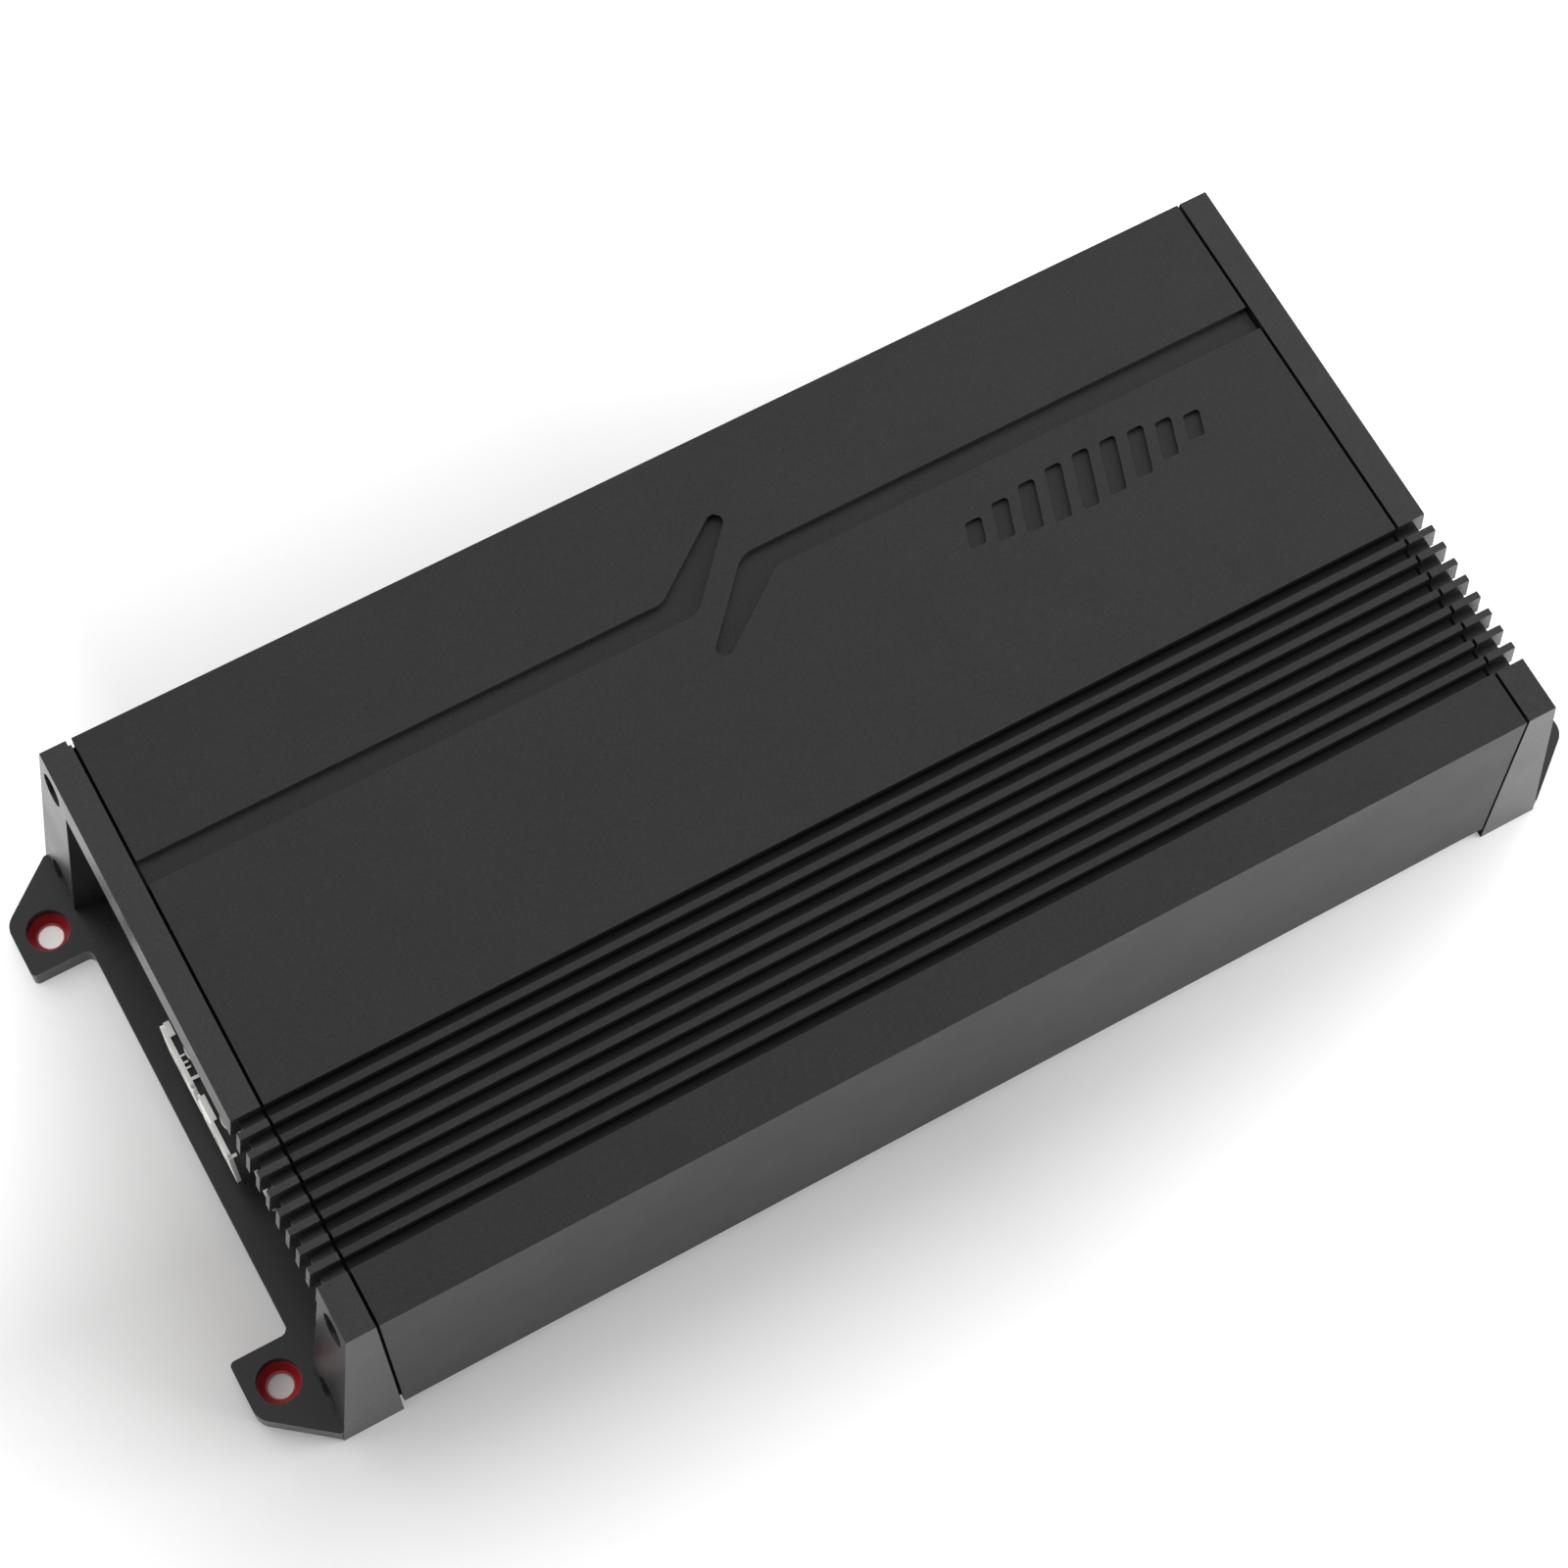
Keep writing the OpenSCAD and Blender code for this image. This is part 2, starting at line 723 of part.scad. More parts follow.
// The fuse's metal: two blades joined by a link
module fuse_blades(i) {
    z = fuse_z[i - 1];
    color("#bdbdbd") {
        for (side = [-1, 1])
            box([fuse_body_x[0] + 1.2, blade_end],
                [fuse_y + side * blade_dy - blade_w / 2, fuse_y + side * blade_dy + blade_w / 2],
                [z - blade_t / 2, z + blade_t / 2]);
        box([fuse_body_x[0] + 3, fuse_body_x[0] + 5.2], [fuse_y - blade_dy, fuse_y + blade_dy],
            [z - blade_t / 2, z + blade_t / 2]);
    }
}

function jack_at(i) = [
    jack_y + (i % 2 == 0 ? 1 : -1) * jack_pitch / 2,
    jack_z + (i > 2 ? 1 : -1) * jack_pitch / 2
];

// Moulding behind the phono jacks, with an insulating nose inside each jack
module phono_block() {
    nose_end = jack_out - 0.8;
    nose_r = jack_d / 2 - jack_wall - 0.02;
    half = 13.6;
    color("#202022") difference() {
        union() {
            difference() {
                box(phono_block_x, [jack_y - half, jack_y + half], phono_block_z);
                for (i = [1:4]) rod_x(jack_flange_r, 104, far + 104, jack_at(i)[0], jack_at(i)[1]);
            }
            for (i = [1:4]) rod_x(nose_r, 103, nose_end, jack_at(i)[0], jack_at(i)[1]);
        }
        for (i = [1:4]) rod_x(jack_core_r, 106, far + 106, jack_at(i)[0], jack_at(i)[1]);
    }
}

module phono_jack(i) {
    flange_end = 108.6;
    at = jack_at(i);
    color("#d6d3cb") difference() {
        union() {
            rod_x(jack_flange_r - 0.05, 104.05, flange_end, at[0], at[1]);
            rod_x(jack_d / 2, 104.05, jack_out, at[0], at[1]);
        }
        rod_x(jack_d / 2 - jack_wall, 100, far + 104, at[0], at[1]);
    }
}

module remote_port() {
    y = (remote_port_y[0] + remote_port_y[1]) / 2;
    z = (remote_port_z[0] + remote_port_z[1]) / 2;
    latch_w = 3.4;
    latch_h = 1.6;
    floor_x = 100;
    color("#1a1a1b") difference() {
        box(port_x, remote_port_y, remote_port_z);
        box([floor_x, port_x[1] + 1], [y - remote_hole_y / 2, y + remote_hole_y / 2],
            [z - remote_hole_z / 2 + 0.6, z + remote_hole_z / 2 + 0.6]);
        box([floor_x, port_x[1] + 1], [y - latch_w / 2, y + latch_w / 2],
            [z - remote_hole_z / 2 + 0.6 - latch_h, z]);
    }
}

module high_level_socket() {
    color("#d9d5c8") difference() {
        box(socket_x, socket_y, socket_z);
        box([socket_floor, socket_x[1] + 1], [socket_y[0] + socket_wall, socket_y[1] - socket_wall],
            [socket_z[0] + socket_wall, socket_z[1] - socket_wall]);
        for (y = pin_y) rod_x(pin_r, 0, far * 6, y, pin_z);
    }
}

module high_level_pins() {
    color("#c9b46a") for (y = pin_y) rod_x(pin_r - 0.02, socket_x[0] - 2, socket_x[1] - 2, y, pin_z);
}

module pot(i) {
    color("#27415c") difference() {
        box(pot_x, [pot_y[i] - pot_w / 2, pot_y[i] + pot_w / 2], [preamp_top, pot_top]);
        rod_x(pot_bore_r, stem_x - 0.3, pot_x[1] + 1, pot_y[i], pot_z);
    }
}

// Trim knob: a thin stem in the pot, a fluted head and a screwdriver slot
module knob(i) {
    slot_w = 1;
    slot_depth = 1.3;
    flute_r = 0.35;
    flutes = 12;
    color("#101011") difference() {
        union() {
            rod_x(stem_r, stem_x, knob_x[0] + eps, pot_y[i], pot_z);
            rod_x(knob_d / 2, knob_x[0], knob_x[1], pot_y[i], pot_z);
        }
        for (a = [0:360 / flutes:359])
            rod_x(flute_r, knob_x[0] + 3, knob_x[1] + 1, pot_y[i] + knob_d / 2 * cos(a),
                  pot_z + knob_d / 2 * sin(a), $fn = 16);
        box([knob_x[1] - slot_depth, knob_x[1] + 1], [pot_y[i] - slot_w / 2, pot_y[i] + slot_w / 2],
            [pot_z - knob_d, pot_z + knob_d]);
    }
}

module slide_switch(i) {
    reach = slider_w / 2 + slider_travel[i] + slider_gap;
    color("#8d9094") difference() {
        box(switch_x, [switch_y[i] - switch_half, switch_y[i] + switch_half],
            [board_top, switch_z + 3.5]);
        box([slider_x[0] - 0.3, switch_x[1] + 1], [switch_y[i] - reach, switch_y[i] + reach],
            [switch_z - slider_h / 2 - slider_gap, switch_z + slider_h / 2 + slider_gap]);
    }
}

// Switch slider with two grip notches near its tip
module switch_slider(i) {
    y = switch_y[i] + slider_rest[i];
    notch = 0.5;
    color("#e9e7e1") difference() {
        box(slider_x, [y - slider_w / 2, y + slider_w / 2],
            [switch_z - slider_h / 2, switch_z + slider_h / 2]);
        for (side = [-1, 1])
            box([slider_x[1] - 1.6, slider_x[1] - 1.6 + notch],
                [y + side * slider_w / 2 - notch / 2, y + side * slider_w / 2 + notch / 2],
                [switch_z - slider_h, switch_z + slider_h]);
    }
}

// Round-nosed lamp with a collar, on two leads that run back and down to the main board
module signal_light(y) {
    collar = 2;
    base = 105;
    nose = 111.2;
    lead_x = 95.6;
    lead = 0.5;
    rod_x(light_r, base, nose, y, light_z);
    translate([nose, y, light_z]) sphere(r = light_r);
    rod_x(collar, base, panel_in - 0.1, y, light_z);
    for (side = [-1, 1]) {
        lead_y = [y + side - lead / 2, y + side + lead / 2];
        box([lead_x, base + eps], lead_y, [light_z - lead / 2, light_z + lead / 2]);
        box([lead_x, lead_x + lead], lead_y, [board_top, light_z]);
    }
}

module power_light() {
    color("#3f7fd0") signal_light(light_y[0]);
}

module protect_light() {
    color("#c43a34") signal_light(light_y[1]);
}

module main_board() {
    color("#1f5a3a") difference() {
        box(board_x, [-board_y, board_y], [board_z, board_top]);
        for (x = post_x, side = [-1, 1])
            translate([x, side * post_y, 0]) cylinder(r = 1.7, h = far * 2);
    }
}

module preamp_board() {
    color("#1f5a3a") box(preamp_x, preamp_y, [preamp_z, preamp_top]);
}

// Posts from the cover to the main board, and from there to the preamp board
module board_posts() {
    bore_h = 9;
    color("#c7b26a") {
        for (x = post_x, side = [-1, 1])
            translate([x, side * post_y, shell_foot]) difference() {
                cylinder(r = post_r, h = board_z - shell_foot);
                translate([0, 0, board_z - shell_foot - bore_h]) cylinder(r = port_r, h = far);
            }
        for (x = [87, 98], y = [-14, 18])
            translate([x, y, board_top]) cylinder(r = 1.5, h = preamp_z - board_top);
    }
}

module inner_screws() {
    board_screw_l = 9;
    clamp_screw_l = 11;
    color("#c9cacb") {
        for (x = post_x, side = [-1, 1])
            translate([x, side * post_y, board_top]) screw(board_screw_l);
        for (x = clamp_screw_x, side = [-1, 1])
            translate([x, side * clamp_y[0], clamp_z[0] + 3]) rotate([90 * side, 0, 0])
                screw(clamp_screw_l);
    }
}

module ring(at, r, z) {
    translate([at.x, at.y, z[0]])
        rotate_extrude() translate([r[0], 0]) square([r[1] - r[0], z[1] - z[0]]);
}

module transformer_core() {
    color("#3b3b3b")
        ring(transformer_at, core_r, [board_top + core_skin, board_top + winding_h - core_skin]);
}

module transformer_winding() {
    color("#b3672c") difference() {
        ring(transformer_at, winding_r, [board_top, board_top + winding_h]);
        ring(transformer_at, core_r, [board_top + core_skin, board_top + winding_h - core_skin]);
    }
}

// One wound choke for each channel
module output_chokes() {
    color("#9c5a2a") for (side = [-1, 1])
        ring([choke_at.x, side * choke_at.y], choke_r, [board_top, board_top + choke_h]);
}

// Supply capacitors behind the power terminals and rail capacitors after the transformer
module capacitors() {
    vent = 0.4;
    color("#23304a") for (x = [-77, -12], y = [-27:18:27])
        translate([x, y, board_top]) difference() {
            cylinder(r = capacitor_r, h = capacitor_h);
            for (a = [0, 90])
                translate([0, 0, capacitor_h]) rotate([0, 0, a])
                    cube([capacitor_r * 1.4, vent, 2 * vent], center = true);
        }
}

module transistors() {
    color("#19191a") for (side = [-1, 1], x = transistor_x) {
        y0 = side > 0 ? transistor_y[0] : -transistor_y[1];
        y1 = side > 0 ? transistor_y[1] : -transistor_y[0];
        box([x - transistor_w / 2, x + transistor_w / 2], [y0, y1], transistor_z);
        for (k = [-1, 0, 1])
            box([x + k * 2.54 - lead_w / 2, x + k * 2.54 + lead_w / 2],
                [(y0 + y1) / 2 - 0.3, (y0 + y1) / 2 + 0.3], [board_top, transistor_z[0] + eps]);
    }
}

module thermal_pads() {
    color("#8fa3ad") for (side = [-1, 1])
        difference() {
            box([-pad_half, pad_half], side > 0 ? [transistor_y[1], inner_y] : [-inner_y, -transistor_y[1]],
                pad_z);
            for (x = clamp_screw_x)
                translate([x, 0, clamp_z[0] + 3]) rotate([-90 * side, 0, 0])
                    cylinder(r = 1.8, h = far * 4);
        }
}

module clamp_bars() {
    color("#a7a9ab") for (side = [-1, 1])
        difference() {
            box([-clamp_half, clamp_half], side > 0 ? clamp_y : [-clamp_y[1], -clamp_y[0]], clamp_z);
            for (x = clamp_screw_x)
                translate([x, 0, clamp_z[0] + 3]) rotate([-90 * side, 0, 0])
                    cylinder(r = 1.7, h = far * 4);
        }
}

heatsink_shell();
left_end_cap();
right_end_cap();
bottom_cover();
for (i = [1:4]) mounting_bush(i);
end_cap_screws();
cover_screws();
power_panel();
control_panel();
power_block();
ground_terminal();
battery_terminal();
remote_terminal();
speaker_block();
for (i = [1:speaker_count])
    speaker_terminal(i);
terminal_set_screws();
fuse_holder();
for (i = [1, 2]) fuse_body(i);
for (i = [1, 2]) fuse_blades(i);
phono_block();
for (i = [1:4]) phono_jack(i);
remote_port();
high_level_socket();
high_level_pins();
pot(0);  // level_pot
pot(1);  // low_pass_pot
pot(2);  // high_pass_pot
pot(3);  // bass_pot
knob(0);  // level_knob
knob(1);  // low_pass_knob
knob(2);  // high_pass_knob
knob(3);  // bass_knob
slide_switch(0);  // crossover_switch
switch_slider(0);  // crossover_slider
slide_switch(1);  // range_switch
switch_slider(1);  // range_slider
power_light();
protect_light();
main_board();
preamp_board();
board_posts();
inner_screws();
transformer_core();
transformer_winding();
output_chokes();
capacitors();
transistors();
thermal_pads();
clamp_bars();
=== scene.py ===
import bpy
import json
import math
from mathutils import Euler, Matrix, Vector


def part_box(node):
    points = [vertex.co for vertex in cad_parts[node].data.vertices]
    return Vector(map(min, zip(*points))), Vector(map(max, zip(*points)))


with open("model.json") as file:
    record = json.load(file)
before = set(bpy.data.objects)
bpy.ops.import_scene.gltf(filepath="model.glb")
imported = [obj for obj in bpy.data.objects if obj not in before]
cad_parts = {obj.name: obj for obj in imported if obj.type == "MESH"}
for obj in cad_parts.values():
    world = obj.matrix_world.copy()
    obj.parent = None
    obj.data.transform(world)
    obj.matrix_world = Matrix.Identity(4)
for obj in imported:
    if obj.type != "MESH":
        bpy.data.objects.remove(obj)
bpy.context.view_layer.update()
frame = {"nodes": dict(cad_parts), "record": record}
nodes = frame["nodes"]
scene = bpy.context.scene


# ---- materials ----------------------------------------------------------------------------------
class Shader:
    """A small node-graph builder round one Principled shader."""

    def __init__(self, name):
        self.mat = bpy.data.materials.new(name)
        self.mat.use_nodes = True
        self.tree = self.mat.node_tree
        self.bsdf = next(n for n in self.tree.nodes if n.type == "BSDF_PRINCIPLED")
        self.coords = self.add("ShaderNodeTexCoord").outputs["Object"]

    def add(self, kind, **props):
        node = self.tree.nodes.new(kind)
        for key, value in props.items():
            setattr(node, key, value)
        return node

    def link(self, a, b):
        self.tree.links.new(a, b)

    def feed(self, socket, value):
        if isinstance(value, bpy.types.NodeSocket):
            self.link(value, socket)
        else:
            socket.default_value = value

    def noise(self, size_mm, detail=3.0, rough=0.55, stretch=(1, 1, 1)):
        """Noise whose features are about size_mm across."""
        mapping = self.add("ShaderNodeMapping")
        mapping.inputs["Scale"].default_value = [s * 1000.0 / size_mm for s in stretch]
        self.link(self.coords, mapping.inputs["Vector"])
        node = self.add("ShaderNodeTexNoise")
        node.inputs["Scale"].default_value = 1.0
        node.inputs["Detail"].default_value = detail
        node.inputs["Roughness"].default_value = rough
        self.link(mapping.outputs["Vector"], node.inputs["Vector"])
        return node.outputs["Fac"]

    def cells(self, size_mm, feature="F1"):
        mapping = self.add("ShaderNodeMapping")
        mapping.inputs["Scale"].default_value = [1000.0 / size_mm] * 3
        self.link(self.coords, mapping.inputs["Vector"])
        node = self.add("ShaderNodeTexVoronoi", feature=feature)
        node.inputs["Scale"].default_value = 1.0
        self.link(mapping.outputs["Vector"], node.inputs["Vector"])
        return node.outputs["Distance"]

    def remap(self, value, lo, hi, out_lo, out_hi):
        node = self.add("ShaderNodeMapRange")
        node.inputs["From Min"].default_value = lo
        node.inputs["From Max"].default_value = hi
        node.inputs["To Min"].default_value = out_lo
        node.inputs["To Max"].default_value = out_hi
        self.link(value, node.inputs["Value"])
        return node.outputs["Result"]

    def mix(self, factor, a, b):
        node = self.add("ShaderNodeMix", data_type="RGBA")
        self.feed(node.inputs["Factor"], factor)
        self.feed(node.inputs[6], a)
        self.feed(node.inputs[7], b)
        return node.outputs[2]

    def math(self, operation, a, b=0.0):
        node = self.add("ShaderNodeMath", operation=operation)
        self.feed(node.inputs[0], a)
        self.feed(node.inputs[1], b)
        return node.outputs[0]

    def edges(self, radius_mm, samples=4):
        """1 along corners, where worn coat and painted highlight go, 0 on flat faces."""
        bevel = self.add("ShaderNodeBevel", samples=samples)
        bevel.inputs["Radius"].default_value = radius_mm / 1000.0
        geometry = self.add("ShaderNodeNewGeometry")
        dot = self.add("ShaderNodeVectorMath", operation="DOT_PRODUCT")
        self.link(bevel.outputs["Normal"], dot.inputs[0])
        self.link(geometry.outputs["Normal"], dot.inputs[1])
        return self.remap(dot.outputs["Value"], 0.995, 0.8, 0.0, 1.0)

    def bump(self, height, depth_mm, strength=1.0, below=None):
        node = self.add("ShaderNodeBump")
        node.inputs["Strength"].default_value = strength
        node.inputs["Distance"].default_value = depth_mm / 1000.0
        self.link(height, node.inputs["Height"])
        if below is not None:
            self.link(below, node.inputs["Normal"])
        return node.outputs["Normal"]

    def set(self, **values):
        for key, value in values.items():
            self.feed(self.bsdf.inputs[key.replace("_", " ")], value)
        return self


def rgb(r, g, b):
    return (r, g, b, 1.0)


def shade(colour, k):
    return (colour[0] * k, colour[1] * k, colour[2] * k, 1.0)


def coated(name, colour, rough, grain_mm=0.35, depth_mm=0.012, worn_edge_and_highlight=None, mottling=0.10, spec=0.5,
           grain=0.3, painted_seam_shade=None):
    """Black powder coat: fine grain, faint mottling, corners painted lighter as worn coat and highlight.

    The worn-edge argument is an edge width in mm, a strength and the lighter colour painted on corners as
    worn metal and painted highlight.
    Between the two distances from the middle in the seam argument, in mm, the faces are painted
    near-black as shade in the seam.
    """
    s = Shader(name)
    broad = s.noise(18.0, 4.0, 0.6)
    fine = s.noise(grain_mm, 2.0, 0.6)
    mottled = s.remap(broad, 0.3, 0.7, 0, 1)
    base = s.mix(mottled, shade(colour, 1 - mottling), shade(colour, 1 + mottling))
    speckle = s.remap(fine, 0.32, 0.68, 0.0, 1.0)
    base = s.mix(grain, base, s.mix(speckle, shade(colour, 0.45), shade(colour, 1.6)))
    roughness = s.remap(broad, 0.3, 0.7, rough - 0.03, rough + 0.04)
    # Corners painted lighter: worn coat and a painted highlight along the edges.
    if worn_edge_and_highlight:
        edge_mm, strength, worn_and_highlight_colour = worn_edge_and_highlight
        patchy = s.remap(s.noise(2.5, 4.0, 0.7), 0.38, 0.62, 0.25, 1.0)
        worn_and_highlit_edge = s.math("MULTIPLY", s.edges(edge_mm), patchy)
        base = s.mix(s.math("MULTIPLY", worn_and_highlit_edge, strength), base, worn_and_highlight_colour)
        roughness = s.math("SUBTRACT", roughness, s.math("MULTIPLY", worn_and_highlit_edge, 0.08))
    # Painted shade: faces within the seam band are painted near-black and fully rough.
    if painted_seam_shade:
        from_middle = s.math("ABSOLUTE", axes_mm(s)[0])
        in_painted_seam_shade = within(s, from_middle, (painted_seam_shade[0] + painted_seam_shade[1]) / 2, (painted_seam_shade[1] - painted_seam_shade[0]) / 2)
        base = s.mix(in_painted_seam_shade, base, shade(colour, 0.03))
        roughness = s.math("MAXIMUM", roughness, in_painted_seam_shade)
    s.set(Base_Color=base, Roughness=roughness, Normal=s.bump(fine, depth_mm))
    s.bsdf.inputs["Specular IOR Level"].default_value = spec
    return s.mat


def moulded(name, colour, rough, grain_mm=0.25, depth_mm=0.01, spec=0.5, mottling=0.06):
    """Moulded plastic with a fine spark-eroded grain."""
    s = Shader(name)
    fine = s.cells(grain_mm)
    broad = s.noise(6.0, 3.0)
    base = s.mix(s.remap(broad, 0.3, 0.7, 0, 1), shade(colour, 1 - mottling), shade(colour, 1 + mottling))
    s.set(Base_Color=base, Roughness=s.remap(broad, 0.3, 0.7, rough - 0.04, rough + 0.05),
          Normal=s.bump(fine, depth_mm))
    s.bsdf.inputs["Specular IOR Level"].default_value = spec
    return s.mat


def metal(name, colour, rough, stretch=(1, 1, 1), line_mm=0.12, depth_mm=0.004, tarnish=0.12,
          shine=1.0):
    """Plated or plain metal with fine turning or drawing lines."""
    s = Shader(name)
    lines = s.noise(line_mm, 2.0, 0.6, stretch)
    broad = s.noise(4.0, 4.0, 0.65)
    base = s.mix(s.remap(broad, 0.35, 0.7, 0, 1), colour, shade(colour, 1 - tarnish))
    s.set(Base_Color=base, Metallic=shine, Roughness=s.remap(broad, 0.3, 0.7, rough - 0.05, rough + 0.08),
          Normal=s.bump(lines, depth_mm))
    return s.mat


def clear_plastic(name, colour, rough=0.12):
    s = Shader(name)
    broad = s.noise(3.0, 3.0)
    base = s.mix(s.remap(broad, 0.3, 0.7, 0, 1), colour, shade(colour, 0.85))
    s.set(Base_Color=base, Roughness=s.remap(broad, 0.3, 0.7, rough, rough + 0.08),
          Normal=s.bump(s.noise(0.8, 2.0), 0.006))
    s.bsdf.inputs["Transmission Weight"].default_value = 0.45
    s.bsdf.inputs["IOR"].default_value = 1.5
    return s.mat


def axes_mm(s):
    """Object coordinates as three sockets in millimetres."""
    split = s.add("ShaderNodeSeparateXYZ")
    s.link(s.coords, split.inputs[0])
    return [s.math("MULTIPLY", split.outputs[k], 1000.0) for k in "XYZ"]


def within(s, value, centre, half):
    """1 where the value lies within half of centre."""
    node = s.add("ShaderNodeMath", operation="COMPARE")
    s.feed(node.inputs[0], value)
    s.feed(node.inputs[1], centre)
    s.feed(node.inputs[2], half)
    return node.outputs[0]


def bars(s, y, z, boxes):
    """1 inside any of the printed boxes, each given as y, z, width and height."""
    ink = None
    for at_y, at_z, width, height in boxes:
        one = s.math("MULTIPLY", within(s, y, at_y, width / 2), within(s, z, at_z, height / 2))
        ink = one if ink is None else s.math("MAXIMUM", ink, one)
    return ink


def length_of(s, a, b):
    """Length of a two-part vector."""
    return s.math("SQRT", s.math("ADD", s.math("MULTIPLY", a, a), s.math("MULTIPLY", b, b)))


def outline(y0, y1, z0, z1, line=0.3):
    """Four printed lines round a frame."""
    mid_y, mid_z = (y0 + y1) / 2, (z0 + z1) / 2
    return [(mid_y, z0, y1 - y0, line), (mid_y, z1, y1 - y0, line),
            (y0, mid_z, line, z1 - z0), (y1, mid_z, line, z1 - z0)]


def minus(y, z, size=2.4, line=0.45):
    return [(y, z, size, line)]


def plus(y, z, size=2.4, line=0.45):
    return minus(y, z, size, line) + [(y, z, line, size)]


def earth(y, z, line=0.45):
    """Earth sign: a stem over three shortening bars."""
    stem = [(y, z + 1.6, line, 1.6)]
    return stem + [(y, z + 0.6 - 0.8 * i, 3.2 - 1.1 * i, line) for i in range(3)]


def knob_scales(s, y, z):
    """Ticks over the turn of each trim knob."""
    half_row = KNOB_COUNT * KNOB_PITCH / 2
    along_row = s.math("MODULO", s.math("ADD", y, half_row - KNOB_ROW_Y), KNOB_PITCH)
    from_knob = s.math("SUBTRACT", along_row, KNOB_PITCH / 2)
    up = s.math("SUBTRACT", z, KNOB_Z)
    radius = length_of(s, from_knob, up)
    angle = s.math("ARCTAN2", from_knob, up)
    step = math.radians(KNOB_TURN / (TICKS - 1))
    half_turn = step * TICKS / 2
    wrapped = s.math("SUBTRACT", s.math("MODULO", s.math("ADD", angle, half_turn), step), step / 2)
    tick = within(s, s.math("MULTIPLY", wrapped, radius), 0.0, TICK_WIDTH / 2)
    swept = within(s, angle, 0.0, half_turn - 0.4 * step)
    ring = s.math("MULTIPLY", within(s, radius, TICK_R, TICK_LENGTH / 2), swept)
    row = within(s, y, KNOB_ROW_Y, half_row)
    return s.math("MULTIPLY", s.math("MULTIPLY", tick, ring), row)


def printed_panel(name, colour, boxes, scales=False):
    """Powder-coated sheet with pale silk-screened marks."""
    s = Shader(name)
    x, y, z = axes_mm(s)
    ink = bars(s, y, z, boxes)
    if scales:
        ink = s.math("MAXIMUM", ink, knob_scales(s, y, z))
    front = s.math("GREATER_THAN", s.math("ABSOLUTE", x), PANEL_FACE_X)
    ink = s.math("MULTIPLY", ink, front)
    ink = s.math("MULTIPLY", ink, s.remap(s.noise(0.5, 3.0), 0.25, 0.4, 0.7, 1.0))
    fine = s.noise(0.4, 2.0)
    broad = s.noise(14.0, 4.0)
    base = s.mix(s.remap(broad, 0.3, 0.7, 0, 1), shade(colour, 0.9), shade(colour, 1.15))
    base = s.mix(ink, base, rgb(0.62, 0.62, 0.60))
    s.set(Base_Color=base, Roughness=s.remap(broad, 0.3, 0.7, 0.45, 0.55), Normal=s.bump(fine, 0.012))
    return s.mat


def jack_moulding(name, colour):
    """Black block whose noses are white in one column and red in the other."""
    s = Shader(name)
    x, y, _ = axes_mm(s)
    nose = s.math("GREATER_THAN", x, JACK_NOSE_X)
    left = s.math("GREATER_THAN", y, JACK_MIDDLE_Y)
    tint = s.mix(left, rgb(0.45, 0.018, 0.02), rgb(0.68, 0.66, 0.62))
    s.set(Base_Color=s.mix(nose, colour, tint), Roughness=s.remap(s.noise(2.0), 0.3, 0.7, 0.32, 0.42),
          Normal=s.bump(s.cells(0.3), 0.006))
    return s.mat


def board(name):
    """Green solder mask over a faint net of copper tracks."""
    s = Shader(name)
    tracks = s.cells(7.0, "DISTANCE_TO_EDGE")
    on = s.remap(tracks, 0.06, 0.1, 1.0, 0.0)
    base = s.mix(on, rgb(0.012, 0.085, 0.035), rgb(0.03, 0.15, 0.06))
    s.set(Base_Color=base, Roughness=s.remap(s.noise(2.0), 0.3, 0.7, 0.3, 0.42), Normal=s.bump(on, 0.03))
    return s.mat


def wound(name, centre_mm, turns_seen=60):
    """Enamelled copper wire laid round a ring core: the turns fan out from its axis."""
    s = Shader(name)
    shift = s.add("ShaderNodeMapping")
    shift.inputs["Location"].default_value = (-centre_mm[0] / 1000, -centre_mm[1] / 1000, 0)
    s.link(s.coords, shift.inputs["Vector"])
    split = s.add("ShaderNodeSeparateXYZ")
    s.link(shift.outputs["Vector"], split.inputs[0])
    angle = s.math("ARCTAN2", split.outputs["Y"], split.outputs["X"])
    turns = s.math("ABSOLUTE", s.math("SINE", s.math("MULTIPLY", angle, turns_seen / 2.0)))
    base = s.mix(turns, rgb(0.16, 0.045, 0.012), rgb(0.62, 0.24, 0.08))
    s.set(Base_Color=base, Metallic=0.85, Roughness=s.remap(s.noise(1.5), 0.3, 0.7, 0.28, 0.4),
          Normal=s.bump(turns, 0.35))
    return s.mat


BLACK = rgb(0.0185, 0.0185, 0.0193)
CAP_BLACK = rgb(0.024, 0.024, 0.025)

# Places in mm: the seam between the case and a cap, whose faces are painted near-black as shade, then
# what the end panels' marks go round
SEAM = 0.55
SHELL_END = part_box("heatsink_shell")[1][0] * 1000.0
CAP_INNER = SHELL_END + SEAM
PANEL_FACE_X = 109.0
JACK_NOSE_X = 110.0
JACK_MIDDLE_Y = -33.0
KNOB_COUNT = 4
KNOB_PITCH = 10.0
KNOB_ROW_Y = 3.0
KNOB_Z = 34.0
KNOB_TURN = 280.0
TICKS = 11
TICK_R = 4.35
TICK_LENGTH = 0.8
TICK_WIDTH = 0.28
RING_CENTRE = (-45, 8)
BATTERY_Y = -7.3
GROUND_Y = 7.3
SPEAKER_Y = [33.4 + (i - 1.5) * 7.4 for i in range(4)]
SPEAKER_PAIRS_Y = [(SPEAKER_Y[i] + SPEAKER_Y[i + 1]) / 2 for i in (0, 2)]
SPEAKER_SIGN_Z = 27.6
FUSES_Y = -37.5
FUSE_SIGN_Z = 41.0
REMOTE_TICK_Y = -19.2

